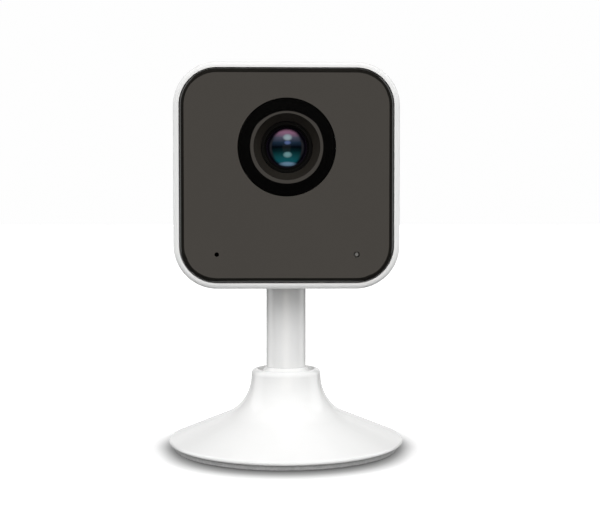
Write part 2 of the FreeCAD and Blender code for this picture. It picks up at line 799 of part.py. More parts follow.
def port_opening(margin):
    hole = rounded_block(port_width + 2 * margin, port_height + 2 * margin, socket_corner_radius + margin,
                         cavity_rear_y - 1, head_rear_y + 1, io_board_top_z + port_height / 2)
    return hole.translated(V(-port_offset_x, 0, 0))


# ---------------------------------------------------------------- lens
def lens_hood():
    return turned_y([
        (hood_throat_radius, hood_front_y + hood_throat_depth),
        (hood_rim_radius - hood_rim_width, hood_front_y),
        (hood_rim_radius, hood_front_y),
        (hood_base_radius, panel_front_y + 0.1),
        (hood_base_radius, bulkhead_back_y),
        (hood_flange_radius, bulkhead_back_y),
        (hood_flange_radius, bulkhead_back_y + hood_flange_thickness),
        (hood_throat_radius, bulkhead_back_y + hood_flange_thickness),
    ])


def lens_barrel():
    head_radius = hood_throat_radius - sliding_gap
    ring_bore = head_radius - barrel_front_wall
    glass_bore = glass_radius + glass_fit
    middle_bore = middle_glass_radius + glass_fit
    rear_bore = rear_glass_radius + glass_fit
    return turned_y([
        (ring_bore, barrel_front_y),
        (head_radius, barrel_front_y),
        (head_radius, barrel_head_back_y),
        (barrel_thread_radius, barrel_head_back_y),
        (barrel_thread_radius, barrel_back_y),
        (rear_bore - rear_seat_width, barrel_back_y),
        (rear_bore - rear_seat_width, rear_seat_y),
        (rear_bore, rear_seat_y),
        (rear_bore, middle_glass_back_y),
        (middle_bore, middle_glass_back_y),
        (middle_bore, front_glass_back_y),
        (glass_bore, front_glass_back_y),
        (glass_bore, ring_seat_y),
        (ring_bore, ring_seat_y),
    ])


def lens_retaining_ring():
    outer = hood_throat_radius - sliding_gap - barrel_front_wall - running_gap
    return turned_y([
        (glass_visible_radius, ring_seat_y),
        (outer - 0.35, barrel_front_y + 0.1),
        (outer, barrel_front_y + 0.1),
        (outer, ring_seat_y),
    ])


def sag(curve, radius):
    return curve - math.sqrt(curve**2 - radius**2)


def arc_to_axis(radius, edge_y, curve):
    """From the rim of a glass to its middle; a positive curve bulges towards -Y."""
    size = abs(curve)
    sign = -1 if curve > 0 else 1
    middle = edge_y + sign * (sag(size, radius) - sag(size, radius / 2))
    return ((radius / 2, middle), (0, edge_y + sign * sag(size, radius)))


def glass(radius, edge_front_y, edge_back_y, front_curve, back_curve, back_radius=None):
    """One lens element. The edge is a cylinder between the two edge places."""
    back = radius if back_radius is None else back_radius
    through_front, apex = arc_to_axis(radius, edge_front_y, front_curve)
    through_back, back_apex = arc_to_axis(back, edge_back_y, back_curve)
    steps = [apex, (through_front, (radius, edge_front_y)), (radius, edge_back_y)]
    if back < radius:
        steps.append((back, edge_back_y))
    steps.append((through_back, back_apex))
    return turned_y(steps)


def front_lens():
    rise = sag(glass_curve_radius, glass_radius) - sag(glass_curve_radius, glass_visible_radius)
    return glass(glass_radius, ring_seat_y + glass_fit + glass_seat_gap + rise, front_glass_back_y,
                 glass_curve_radius, front_glass_back_curve, front_glass_back_radius)


def middle_lens():
    bore = rear_glass_radius + glass_fit
    rise = sag(middle_glass_back_curve, middle_glass_radius) - sag(middle_glass_back_curve, bore)
    edge_back_y = middle_glass_back_y - rise - glass_seat_gap
    return glass(middle_glass_radius, middle_glass_front_y, edge_back_y,
                 middle_lens_curve, -middle_glass_back_curve)


def lens_spacer():
    """Ring that holds the middle element against its seat."""
    outer = middle_glass_radius + glass_fit - running_gap
    inner = outer - spacer_wall
    rise = sag(middle_lens_curve, middle_glass_radius) - sag(middle_lens_curve, inner)
    front, back = front_glass_back_y + glass_seat_gap, middle_glass_front_y - rise - glass_seat_gap
    return turned_y([(inner, front), (outer, front), (outer, back), (inner, back)])


def rear_lens():
    back = rear_seat_y - sag(rear_glass_back_curve, rear_glass_radius)
    return glass(rear_glass_radius, back - rear_glass_edge, back,
                 rear_glass_front_curve, -rear_glass_back_curve)


def lens_holder():
    tube_outer = barrel_thread_radius + holder_tube_wall
    tube = rod_y(tube_outer, holder_tube_front_y, holder_base_front_y + 0.5, z=lens_z)
    low, high = lens_z - holder_below_axis, lens_z + holder_above_axis
    base = box(-holder_half_width, holder_half_width, holder_base_front_y, holder_back_y, low, high)
    inside = box(-holder_half_width + holder_wall, holder_half_width - holder_wall,
                 filter_blade_front_y - filter_gap, holder_back_y + 1, low + holder_wall, high - holder_wall)
    body = fused([tube, base]).cut(inside)
    pivot = rod_y(filter_pivot_radius, filter_blade_front_y - 1, holder_back_y, z=filter_pivot_z)
    bore = rod_y(barrel_thread_radius + running_gap, holder_tube_front_y - 1,
                 barrel_back_y + 0.1, z=lens_z)
    window = rod_y(rear_glass_radius, holder_base_front_y - 1, filter_blade_front_y + 1, z=lens_z)
    return fused([without(body, bore, window), pivot])


# ---------------------------------------------------------------- infrared filter
def filter_window_places():
    """The infrared-cut glass lies on the lens axis, and the clear one beside it towards +X."""
    return [
        (filter_pivot_above_axis * math.sin(math.radians(a)),
         filter_pivot_z - filter_pivot_above_axis * math.cos(math.radians(a)))
        for a in (0.0, filter_swing_deg)
    ]


def filter_blade():
    y0, y1 = filter_blade_front_y, filter_blade_back_y
    rim = filter_window_radius + filter_blade_rim
    body = [rod_y(filter_magnet_radius, y0, y1, z=filter_pivot_z)]
    for (x, z), angle in zip(filter_window_places(), (0.0, filter_swing_deg)):
        arm = box(-filter_arm_width / 2, filter_arm_width / 2, y0, y1, -filter_pivot_above_axis, 0)
        arm.rotate(V(0, 0, 0), Y_AXIS, -angle)
        arm.translate(V(0, 0, filter_pivot_z))
        body += [rod_y(rim, y0, y1, x, z), arm]
    cuts = [rod_y(filter_window_radius, y0 - 1, y1 + 1, x, z) for x, z in filter_window_places()]
    cuts.append(rod_y(filter_pivot_radius + running_gap, y0 - 1, y1 + 1, z=filter_pivot_z))
    return without(fused(body), *cuts)


def filter_glasses():
    y0, y1 = filter_blade_front_y + 0.2, filter_blade_back_y - 0.2
    return [rod_y(filter_window_radius, y0, y1, x, z) for x, z in filter_window_places()]


def filter_rotor():
    rotor = rod_y(filter_magnet_radius, filter_blade_back_y, holder_back_y - 2 * coil_gap, z=filter_pivot_z)
    bore = rod_y(filter_pivot_radius + running_gap, filter_blade_back_y - 1, holder_back_y, z=filter_pivot_z)
    return rotor.cut(bore)


def filter_coil():
    """Stator: a bobbin beside the rotor with a pole piece that reaches it."""
    y0, y1 = filter_blade_back_y + coil_gap, holder_back_y - coil_gap
    x0, x1 = filter_magnet_radius + coil_gap, holder_half_width - holder_wall
    pole_half, half = coil_pole_width / 2, coil_width / 2
    pole = box(x0, x0 + coil_pole_width, y0, y1, filter_pivot_z - pole_half, filter_pivot_z + pole_half)
    bobbin = box(x0 + 1.5 * pole_half, x1, y0, y1, filter_pivot_z - half, filter_pivot_z + half)
    return fused([pole, bobbin])


# ---------------------------------------------------------------- boards and what is on them
def image_sensor():
    half_width, half_height = sensor_width / 2, sensor_height / 2
    return box(-half_width, half_width, main_board_y - sensor_thickness, main_board_y,
               lens_z - half_height, lens_z + half_height)


def main_board():
    board = rounded_block(main_board_width, cavity_height - 2 * board_edge_gap,
                          cavity_corner_radius - board_edge_gap, main_board_y, main_board_back_y)
    half = main_board_width / 2
    board = board.common(box(-half, half, main_board_y, main_board_back_y,
                             main_board_bottom_z, main_board_top_z))
    hole_radius = board_screw_radius + screw_hole_gap
    return without(board, *[rod_y(hole_radius, main_board_y - 1, main_board_back_y + 1, x, z)
                            for x, z in board_post_places])


def chip_block(y0, y1, half):
    return box(processor_x - half, processor_x + half, y0, y1, processor_z - half, processor_z + half)


def processor():
    return chip_block(main_board_back_y, main_board_back_y + processor_height, processor_size / 2)


def thermal_pad():
    y0 = main_board_back_y + processor_height
    return chip_block(y0, y0 + thermal_pad_thickness, processor_size / 2 - 0.3)


def heat_sink():
    y0 = main_board_back_y + processor_height + thermal_pad_thickness
    half = heat_sink_width / 2
    sink = chip_block(y0, y0 + heat_sink_height, half)
    pitch = heat_sink_width / (heat_sink_fins - 0.5)
    first = processor_x - half + pitch / 2
    gaps = [box(x, x + pitch / 2, y0 + heat_sink_base, y0 + heat_sink_height + 1,
                processor_z - half - 1, processor_z + half + 1)
            for x in [first + pitch * i for i in range(heat_sink_fins - 1)]]
    return without(sink, *gaps)


def front_board():
    half = cavity_width / 2 - 3.7
    low, high = pinhole_z - 4.1, lens_z + 11.5
    board = box(-half, half, front_board_y, front_board_back_y, low, high)
    y0, y1 = front_board_y - 1, front_board_back_y + 1
    cuts = [rod_y(hood_flange_radius + 0.4, y0, y1, z=lens_z)]
    cuts += [rod_y(case_boss_radius + 0.4, y0, y1, x, z) for x, z in case_screw_places]
    cuts += [rod_y(board_post_radius + 0.3, y0, y1, x, z) for x, z in board_post_places]
    return without(board, *cuts)


def infrared_leds():
    out, half, face_y = [], infrared_led_size / 2, front_board_y - infrared_led_thickness
    for x, z in infrared_led_places:
        package = box(x - half, x + half, face_y, front_board_y, z - half, z + half)
        dome = Part.makeSphere(infrared_led_dome, V(x, face_y, z))
        dome = dome.common(rod_y(infrared_led_dome + 1, face_y - 3, face_y + 0.1, x, z))
        out.append(fused([package, dome]))
    return out


def light_sensor():
    z = lens_z - hood_flange_radius - 4.0
    return box(-1.0, 1.0, front_board_y - 0.8, front_board_y, z - 0.8, z + 0.8)


def status_led():
    x, z = pinhole_offset_x, pinhole_z
    return box(x - 0.9, x + 0.9, front_board_y - status_led_thickness, front_board_y, z - 0.6, z + 0.6)


def light_pipe():
    x, z = pinhole_offset_x, pinhole_z
    back = front_board_y - status_led_thickness
    tip = rod_y(light_pipe_radius, panel_front_y + light_pipe_recess, back, x, z)
    collar = rod_y(light_pipe_collar, bulkhead_back_y, back, x, z)
    return fused([tip, collar])


def microphone():
    x, z = -pinhole_offset_x, pinhole_z
    half_width, half_height = microphone_width / 2, microphone_height / 2
    return box(x - half_width, x + half_width, front_board_y - microphone_thickness, front_board_y,
               z - half_height, z + half_height)


def microphone_boot():
    x, z = -pinhole_offset_x, pinhole_z
    back = front_board_y - microphone_thickness
    ring = rod_y(microphone_boot_radius, bulkhead_back_y, back, x, z)
    return ring.cut(rod_y(microphone_boot_bore, bulkhead_back_y - 1, back + 1, x, z))


def board_connectors():
    """A socket at each end of the flat cable, and the header that joins the two rear boards."""
    x0, x1 = ribbon_x - ribbon_width / 2 - 1, ribbon_x + ribbon_width / 2 + 1
    z0 = ribbon_top_z
    return [
        box(x0, x1, front_board_back_y, front_board_back_y + connector_height, z0, z0 + 3),
        box(x0, x1, main_board_y - connector_height, main_board_y, z0, z0 + 3),
        box(-6, 6, main_board_back_y, main_board_back_y + 2.6, io_board_top_z, main_board_bottom_z + 2),
    ]


def ribbon_cable():
    """Flat cable in a half loop between the front board and the main board."""
    ya = front_board_back_y + connector_height / 2
    yb = main_board_y - connector_height / 2
    radius, middle = (yb - ya) / 2, (ya + yb) / 2
    x0, x1 = ribbon_x - ribbon_width / 2, ribbon_x + ribbon_width / 2
    loop = rod_x(radius + ribbon_sheet / 2, x0, x1, middle, ribbon_top_z).cut(
        rod_x(radius - ribbon_sheet / 2, x0 - 1, x1 + 1, middle, ribbon_top_z))
    reach = radius + 1
    return loop.cut(box(x0 - 1, x1 + 1, middle - reach, middle + reach, ribbon_top_z, ribbon_top_z + reach))


def io_board():
    half = io_post_places[1][0] + 4.0
    board = box(-half, half, io_board_front_y, io_board_back_y, io_board_z, io_board_top_z)
    hole_radius = board_screw_radius + screw_hole_gap
    return without(board, *[rod_z(hole_radius, io_board_z - 1, io_board_top_z + 1, x, y)
                            for x, y in io_post_places])


def power_socket():
    """Five-pin power receptacle: a sheet-metal shell round a contact tongue."""
    y1 = head_rear_y - socket_recess
    y0 = y1 - port_length
    z0 = io_board_top_z
    zc = z0 + port_height / 2
    x = -port_offset_x
    inner_width, inner_height = port_width - 2 * socket_sheet, port_height - 2 * socket_sheet
    shell = rounded_block(port_width, port_height, socket_corner_radius, y0, y1, zc)
    inner_corner = socket_corner_radius - socket_sheet
    inside = rounded_block(inner_width, inner_height, inner_corner, y0 + 0.4, y1 + 1, zc)
    tongue = box(-2.6, 2.6, y0 + 0.2, y1 - 0.9, zc + 0.05, zc + 0.55)
    return fused([shell.cut(inside), tongue]).translated(V(x, 0, 0))


def reset_switch():
    y1 = switch_face_y
    half = switch_width / 2
    body = box(port_offset_x - half, port_offset_x + half, y1 - switch_depth, y1,
               io_board_top_z, io_board_top_z + switch_height)
    return body.cut(rod_y(plunger_radius + sliding_gap, y1 - 1.2, y1 + 1, port_offset_x, io_axis_z))


def switch_plunger():
    y1 = switch_face_y
    return rod_y(plunger_radius, y1 - 0.6, y1 + plunger_proud, port_offset_x, io_axis_z)


def reset_button():
    """Cap flush with the rear wall, with a collar that keeps it in, resting on the plunger."""
    y0 = switch_face_y + plunger_proud
    collar_y = cavity_rear_y - sliding_gap
    collar_front_y = collar_y - button_collar_width
    cap = rod_y(button_radius, collar_front_y + 0.1, head_rear_y - button_recess, port_offset_x, io_axis_z)
    collar = rod_y(button_radius + button_collar_width, collar_front_y, collar_y, port_offset_x, io_axis_z)
    stalk = rod_y(plunger_radius + 0.15, y0, collar_y, port_offset_x, io_axis_z)
    return fused([cap, collar, stalk])


# ---------------------------------------------------------------- speaker, antenna, fasteners
def speaker_gasket():
    y0 = cavity_rear_y - speaker_gasket_thickness
    ring = rod_y(speaker_radius, y0, cavity_rear_y, z=speaker_z)
    return ring.cut(rod_y(speaker_radius - speaker_gasket_width, y0 - 1, cavity_rear_y + 1, z=speaker_z))


def speaker_basket():
    back = cavity_rear_y - speaker_gasket_thickness
    front = back - speaker_basket_depth
    return turned_y([
        (speaker_radius, back), (speaker_radius, back - 1.0), (speaker_radius * 0.72, front),
        (speaker_radius * 0.3, front), (speaker_radius * 0.3, front + 0.5),
        (speaker_radius * 0.68, front + 0.5), (speaker_radius - 1.2, back - 0.9),
        (speaker_radius - 1.2, back),
    ], z=speaker_z)


def speaker_cone():
    """Thin dished diaphragm, held at its rim inside the basket."""
    back = cavity_rear_y - speaker_gasket_thickness
    rim = speaker_radius - 1.25
    dish = 0.62
    return turned_y([
        (0, back - 1.15), (rim * 0.3, back - 1.15), (rim - 0.6, back - dish), (rim, back - dish),
        (rim, back - 0.4), (rim - 0.7, back - 0.4), (rim * 0.3, back - 0.9), (0, back - 0.9),
    ], z=speaker_z)


def speaker_magnet():
    back = cavity_rear_y - speaker_gasket_thickness - speaker_basket_depth
    return rod_y(speaker_radius * 0.6, back - (speaker_depth - speaker_basket_depth), back, z=speaker_z)


def wifi_antenna():
    half = antenna_width / 2
    return box(-half, half, main_board_y - 5, antenna_back_y, cavity_top_z - antenna_thickness, cavity_top_z)


def antenna_lead():
    """Coaxial lead from the antenna down and round to its plug on the main board's front."""
    x, bend = antenna_lead_x, antenna_lead_bend
    top, foot_y = cavity_top_z - antenna_thickness, main_board_y
    lead_y, low = foot_y - bend - 1.4, main_board_top_z - 2.5
    start, corner_top = V(x, lead_y, top), V(x, lead_y, low + bend)
    k = bend * (1 - math.sqrt(0.5))
    corner_end = V(x, lead_y + bend, low)
    path = Part.Wire([
        Part.LineSegment(start, corner_top).toShape(),
        Part.Arc(corner_top, V(x, lead_y + k, low + k), corner_end).toShape(),
        Part.LineSegment(corner_end, V(x, foot_y, low)).toShape(),
    ])
    section = Part.Wire(Part.makeCircle(antenna_lead_radius, start, V(0, 0, -1)))
    lead = path.makePipeShell([section], True, False)
    return fused([lead, rod_y(1.3, foot_y - 1.2, foot_y, x, low)])


def case_screws():
    seat_y = bulkhead_front_y + case_screw_sink
    one = screw(case_screw_head_radius, case_screw_head_height, case_screw_radius, case_screw_tip_y - seat_y)
    return [along_y(one, x, seat_y, z, 1) for x, z in case_screw_places]


def board_screws():
    one = screw(board_screw_head_radius, board_screw_head_height, board_screw_radius, board_screw_length)
    main = [along_y(one, x, main_board_back_y, z, -1) for x, z in board_post_places]
    return main + [downwards(one, x, y, io_board_top_z) for x, y in io_post_places]


# ---------------------------------------------------------------- tilt hinge hardware
def hinge_outer_face():
    return pocket_half + ear_outer_boss_height


def tilt_screw():
    length = 2 * hinge_outer_face() + spring_washer_height + nut_thickness + hinge_screw_past_nut
    s = screw(hinge_screw_head_radius, hinge_screw_head_height, hinge_screw_radius, length)
    s.rotate(V(0, 0, 0), Y_AXIS, 90)
    s.translate(V(-hinge_outer_face(), 0, hinge_z))
    return s


def tilt_washers():
    out = []
    for side in (-1, 1):
        outer_face = side * (knuckle_half_width + friction_washer_thickness + running_gap)
        inner_face = side * (knuckle_half_width + running_gap)
        x0, x1 = sorted((inner_face, outer_face))
        disc = rod_x(ear_inner_boss_radius - 0.2, x0, x1, z=hinge_z)
        out.append(disc.cut(rod_x(hinge_screw_radius + 0.1, x0 - 1, x1 + 1, z=hinge_z)))
    return out


def tilt_spring_washer():
    x0 = hinge_outer_face()
    inner, outer = hinge_screw_radius + sliding_gap, spring_washer_radius
    dish = spring_washer_height - spring_washer_sheet
    cone = turned_z([(inner, dish), (outer, 0), (outer, spring_washer_sheet), (inner, spring_washer_height)])
    cone.rotate(V(0, 0, 0), Y_AXIS, 90)
    cone.translate(V(x0, 0, hinge_z))
    return cone


def tilt_nut():
    x0 = hinge_outer_face() + spring_washer_height
    reach = nut_across_flats / 2 / math.cos(math.radians(30))
    corners = [V(x0, reach * math.cos(math.radians(60 * i)), hinge_z + reach * math.sin(math.radians(60 * i)))
               for i in range(6)]
    hexagon = Part.Face(Part.makePolygon(corners + corners[:1]))
    nut = hexagon.extrude(V(nut_thickness, 0, 0))
    return nut.cut(rod_x(hinge_screw_radius + running_gap, x0 - 1, x0 + nut_thickness + 1, z=hinge_z))


PIECES = {
    "base_shell": base_shell, "foot_pad": foot_pad, "bottom_plate": bottom_plate, "base_screws": base_screws,
    "base_weight": base_weight, "base_magnet": base_magnet, "seat_retainer": seat_retainer,
    "thrust_spring": thrust_spring,
    "upper_seat": upper_seat, "lower_seat": lower_seat,
    "stem": stem, "stem_ball": stem_ball, "stem_screw": stem_screw,
    "front_panel": front_panel, "panel_tape": panel_tape,
    "front_housing": front_housing, "rear_cover": rear_cover,
    "lens_hood": lens_hood, "lens_barrel": lens_barrel, "lens_retaining_ring": lens_retaining_ring,
    "front_lens": front_lens, "middle_lens": middle_lens, "rear_lens": rear_lens, "lens_spacer": lens_spacer,
    "lens_holder": lens_holder,
    "filter_blade": filter_blade, "filter_glasses": filter_glasses, "filter_rotor": filter_rotor,
    "filter_coil": filter_coil,
    "image_sensor": image_sensor, "main_board": main_board,
    "processor": processor, "thermal_pad": thermal_pad, "heat_sink": heat_sink,
    "front_board": front_board, "infrared_leds": infrared_leds,
    "light_sensor": light_sensor, "status_led": status_led, "light_pipe": light_pipe,
    "microphone": microphone, "microphone_boot": microphone_boot,
    "board_connectors": board_connectors, "ribbon_cable": ribbon_cable,
    "io_board": io_board, "power_socket": power_socket,
    "reset_switch": reset_switch, "switch_plunger": switch_plunger, "reset_button": reset_button,
    "speaker_gasket": speaker_gasket, "speaker_basket": speaker_basket, "speaker_cone": speaker_cone,
    "speaker_magnet": speaker_magnet, "wifi_antenna": wifi_antenna, "antenna_lead": antenna_lead,
    "case_screws": case_screws, "board_screws": board_screws,
    "tilt_screw": tilt_screw, "tilt_washers": tilt_washers, "tilt_spring_washer": tilt_spring_washer,
    "tilt_nut": tilt_nut,
}


def main():
    os.makedirs("parts", exist_ok=True)
    for name, make in PIECES.items():
        made = make()
        solids = [s for shape in (made if isinstance(made, list) else [made]) for s in shape.Solids]
        if not solids or not all(s.isValid() for s in solids):
            raise ValueError(f"{name} is not a valid solid")
        whole = solids[0] if len(solids) == 1 else Part.makeCompound(solids)
        whole.exportStep(f"parts/{name}.step")
        print(f"{name}: {len(solids)} solid(s), {sum(s.Volume for s in solids):.1f} mm3")


main()
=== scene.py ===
import json
import math

import bmesh
import bpy
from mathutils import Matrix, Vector


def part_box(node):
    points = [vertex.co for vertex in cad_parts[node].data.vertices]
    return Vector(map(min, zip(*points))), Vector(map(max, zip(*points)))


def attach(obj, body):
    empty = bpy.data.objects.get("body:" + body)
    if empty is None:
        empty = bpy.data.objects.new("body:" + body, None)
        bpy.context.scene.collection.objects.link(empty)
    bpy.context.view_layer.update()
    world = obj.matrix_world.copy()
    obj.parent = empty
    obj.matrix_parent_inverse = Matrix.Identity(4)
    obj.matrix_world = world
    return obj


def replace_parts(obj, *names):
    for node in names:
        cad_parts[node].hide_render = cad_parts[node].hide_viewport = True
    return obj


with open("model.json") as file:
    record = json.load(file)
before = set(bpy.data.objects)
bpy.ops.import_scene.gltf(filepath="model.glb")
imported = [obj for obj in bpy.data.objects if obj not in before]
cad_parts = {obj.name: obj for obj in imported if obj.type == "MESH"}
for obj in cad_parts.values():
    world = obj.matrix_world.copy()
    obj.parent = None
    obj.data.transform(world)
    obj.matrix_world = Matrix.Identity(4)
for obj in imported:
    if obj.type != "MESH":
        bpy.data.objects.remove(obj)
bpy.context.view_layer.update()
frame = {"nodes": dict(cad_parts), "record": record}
nodes = frame["nodes"]
record = frame["record"]

MM = 0.001
TAU = 2 * math.pi


# ------------------------------------------------------------------ places and sizes
# Boxes and the lens's centre are in metres, as the frame is.
hood_low, hood_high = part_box("lens_hood")
panel_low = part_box("front_panel")[0]
glass_low, glass_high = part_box("front_lens")
ring_low, ring_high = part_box("lens_retaining_ring")
foot_low, foot_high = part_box("foot_pad")
lens_centre = Vector(((hood_low.x + hood_high.x) / 2, hood_low.y, (hood_low.z + hood_high.z) / 2))

# Sizes are in millimetres.
hood_proud = (panel_low.y - hood_low.y) / MM
hood_base_radius = 12.45
hood_rim_radius = 9.45
hood_lip_width = 0.95
hood_throat_radius = 6.55
glass_radius = (glass_high.x - glass_low.x) / 2 / MM
glass_apex_depth = (glass_low.y - hood_low.y) / MM
glass_curve_radius = 7.6
glass_seen_radius = 4.95
painted_zone_half_width = 0.86 * glass_seen_radius
painted_arc_radius = 4.15
ring_radius = (ring_high.x - ring_low.x) / 2 / MM
ring_front_depth = (ring_low.y - hood_low.y) / MM
ring_back_depth = (ring_high.y - hood_low.y) / MM

foot_radius = (foot_high.x - foot_low.x) / 2 / MM


# ------------------------------------------------------------------ material helpers
def new_material(name):
    """A material with its Principled shader, ready for sockets to be set."""
    material = bpy.data.materials.new(name)
    material.use_nodes = True
    shader = material.node_tree.nodes["Principled BSDF"]
    return material, material.node_tree, shader


SOCKETS = {
    "color": "Base Color", "roughness": "Roughness", "metallic": "Metallic", "ior": "IOR",
    "coat": "Coat Weight", "transmission": "Transmission Weight", "specular": "Specular IOR Level",
}


def set_sockets(shader, **values):
    for key, value in values.items():
        shader.inputs[SOCKETS[key]].default_value = (*value, 1.0) if key == "color" else value


def add(tree, kind, **settings):
    node = tree.nodes.new(kind)
    for key, value in settings.items():
        setattr(node, key, value)
    return node


def place(tree):
    """Position on the part in its own frame, in metres."""
    found = tree.nodes.get("Texture Coordinate") or add(tree, "ShaderNodeTexCoord")
    return found.outputs["Object"]


def maths(tree, operation, *inputs):
    """A Math node; an input is a number or another node's output."""
    node = add(tree, "ShaderNodeMath", operation=operation)
    for socket, value in zip(node.inputs, inputs):
        if isinstance(value, (int, float)):
            socket.default_value = value
        else:
            tree.links.new(value, socket)
    return node.outputs["Value"]


def length(tree, first, second):
    """The length of a flat vector, from its two components."""
    squares = [maths(tree, "MULTIPLY", value, value) for value in (first, second)]
    return maths(tree, "SQRT", maths(tree, "ADD", *squares))


def grey(value):
    return (value, value, value)


def noise(tree, size_mm, detail=2.0, rough=0.5):
    """Noise whose blotches are about size_mm across."""
    node = add(tree, "ShaderNodeTexNoise")
    node.inputs["Scale"].default_value = 1000.0 / size_mm
    node.inputs["Detail"].default_value = detail
    node.inputs["Roughness"].default_value = rough
    tree.links.new(place(tree), node.inputs["Vector"])
    return node.outputs["Fac"]


def spread(tree, value, low, high, from_low=0.3, from_high=0.7, smooth=False):
    """Maps from_low..from_high to low..high, held at the ends."""
    node = add(tree, "ShaderNodeMapRange", interpolation_type="SMOOTHSTEP" if smooth else "LINEAR")
    for key, number in (("From Min", from_low), ("From Max", from_high), ("To Min", low), ("To Max", high)):
        node.inputs[key].default_value = number
    tree.links.new(value, node.inputs["Value"])
    return node.outputs["Result"]


def ramp(tree, value, stops):
    node = add(tree, "ShaderNodeValToRGB")
    elements = node.color_ramp.elements
    for index, (position, color) in enumerate(stops):
        element = elements[index] if index < 2 else elements.new(position)
        element.position = position
        element.color = (*color, 1.0)
    tree.links.new(value, node.inputs["Fac"])
    return node.outputs["Color"]


def mix(tree, factor, first, second, blend="MIX"):
    """A colour Mix node; first and second are colours or outputs."""
    node = add(tree, "ShaderNodeMix", data_type="RGBA", blend_type=blend)
    for socket, value in zip((node.inputs[0], node.inputs[6], node.inputs[7]), (factor, first, second)):
        if isinstance(value, (int, float)):
            socket.default_value = value
        elif isinstance(value, tuple):
            socket.default_value = (*value, 1.0)
        else:
            tree.links.new(value, socket)
    return node.outputs[2]


def bump(tree, shader, height, depth_mm):
    node = add(tree, "ShaderNodeBump")
    node.inputs["Distance"].default_value = depth_mm * MM
    tree.links.new(height, node.inputs["Height"])
    tree.links.new(node.outputs["Normal"], shader.inputs["Normal"])


# ------------------------------------------------------------------ materials
def moulded(name, color, roughness, vary=0.04, grain_mm=0.35, grain_depth_mm=0.0015, tint=0.015, **more):
    """Injection-moulded plastic: faint flow marks in colour and gloss, and a fine grain."""
    material, tree, shader = new_material(name)
    set_sockets(shader, **more)
    flow = noise(tree, 14.0, 3.0)
    darker = [c * (1 - tint) for c in color]
    lighter = [min(1.0, c * (1 + tint)) for c in color]
    tree.links.new(ramp(tree, flow, [(0.35, darker), (0.65, lighter)]), shader.inputs["Base Color"])
    tree.links.new(spread(tree, noise(tree, 3.0, 4.0), roughness - vary, roughness + vary),
                   shader.inputs["Roughness"])
    bump(tree, shader, noise(tree, grain_mm, 2.0), grain_depth_mm)
    return material


def metal(name, color, roughness, stretch=(1, 1, 12), grain_mm=0.5):
    """Plated or brushed metal with fine streaks along the short axis of stretch."""
    material, tree, shader = new_material(name)
    set_sockets(shader, metallic=1.0)
    mapping = add(tree, "ShaderNodeMapping")
    mapping.inputs["Scale"].default_value = stretch
    tree.links.new(place(tree), mapping.inputs["Vector"])
    streak = add(tree, "ShaderNodeTexNoise")
    streak.inputs["Scale"].default_value = 1000.0 / grain_mm
    tree.links.new(mapping.outputs["Vector"], streak.inputs["Vector"])
    fac = streak.outputs["Fac"]
    darker = [c * 0.85 for c in color]
    tree.links.new(ramp(tree, fac, [(0.3, darker), (0.7, color)]), shader.inputs["Base Color"])
    tree.links.new(spread(tree, fac, roughness * 0.8, roughness * 1.3), shader.inputs["Roughness"])
    bump(tree, shader, fac, 0.004)
    return material


def glass(name, color, roughness=0.02, ior=1.5):
    material, tree, shader = new_material(name)
    set_sockets(shader, transmission=1.0, ior=ior)
    film = ramp(tree, noise(tree, 6.0), [(0.3, [c * 0.96 for c in color]), (0.7, color)])
    tree.links.new(film, shader.inputs["Base Color"])
    gloss = spread(tree, noise(tree, 1.5), roughness * 0.6, roughness * 1.4)
    tree.links.new(gloss, shader.inputs["Roughness"])
    return material


def rubber(name, color, roughness=0.75):
    material, tree, shader = new_material(name)
    set_sockets(shader, specular=0.35)
    dust = noise(tree, 1.2, 6.0, 0.7)
    lighter = [c * 1.3 + 0.004 for c in color]
    tree.links.new(ramp(tree, dust, [(0.4, color), (0.75, lighter)]), shader.inputs["Base Color"])
    tree.links.new(spread(tree, dust, roughness - 0.1, roughness + 0.1), shader.inputs["Roughness"])
    bump(tree, shader, noise(tree, 0.25, 3.0), 0.02)
    return material


def circuit_board(name, color):
    """Solder mask over copper tracks that show as slightly raised lines."""
    material, tree, shader = new_material(name)
    set_sockets(shader, coat=0.3)
    brick = add(tree, "ShaderNodeTexBrick")
    brick.inputs["Scale"].default_value = 400.0
    brick.inputs["Mortar Size"].default_value = 0.03
    tree.links.new(place(tree), brick.inputs["Vector"])
    lighter = [c * 1.6 + 0.01 for c in color]
    tracks = ramp(tree, brick.outputs["Fac"], [(0.2, color), (0.8, lighter)])
    tree.links.new(tracks, shader.inputs["Base Color"])
    tree.links.new(spread(tree, noise(tree, 2.0), 0.28, 0.42), shader.inputs["Roughness"])
    bump(tree, shader, brick.outputs["Fac"], 0.03)
    return material


# Painted reflection: colour of the coated glass up its height, from -1 at the lower edge to 1 at the upper
# edge.
PAINTED_REFLECTION_BANDS = [
    (-1.00, (0.004, 0.006, 0.016)),
    (-0.89, (0.060, 0.100, 0.200)),
    (-0.73, (0.009, 0.140, 0.180)),
    (-0.55, (0.009, 0.100, 0.115)),
    (-0.38, (0.006, 0.055, 0.062)),
    (-0.20, (0.002, 0.018, 0.022)),
    (0.02, (0.001, 0.002, 0.004)),
    (0.26, (0.013, 0.027, 0.050)),
    (0.52, (0.080, 0.085, 0.125)),
    (0.80, (0.340, 0.165, 0.265)),
    (1.00, (0.270, 0.125, 0.195)),
]
# Painted highlights: ghost images of the light on the glasses behind: (x, z, half width, half height,
# colour), in millimetres.
PAINTED_GHOSTS = [
    (0.2, 2.60, 1.10, 0.80, (0.30, 0.38, 0.42)),
    (0.2, 1.20, 0.80, 0.50, (0.09, 0.13, 0.28)),
    (0.2, -1.90, 1.05, 0.70, (0.19, 0.36, 0.38)),
    (0.3, -4.25, 2.00, 0.55, (0.27, 0.46, 0.66)),
]


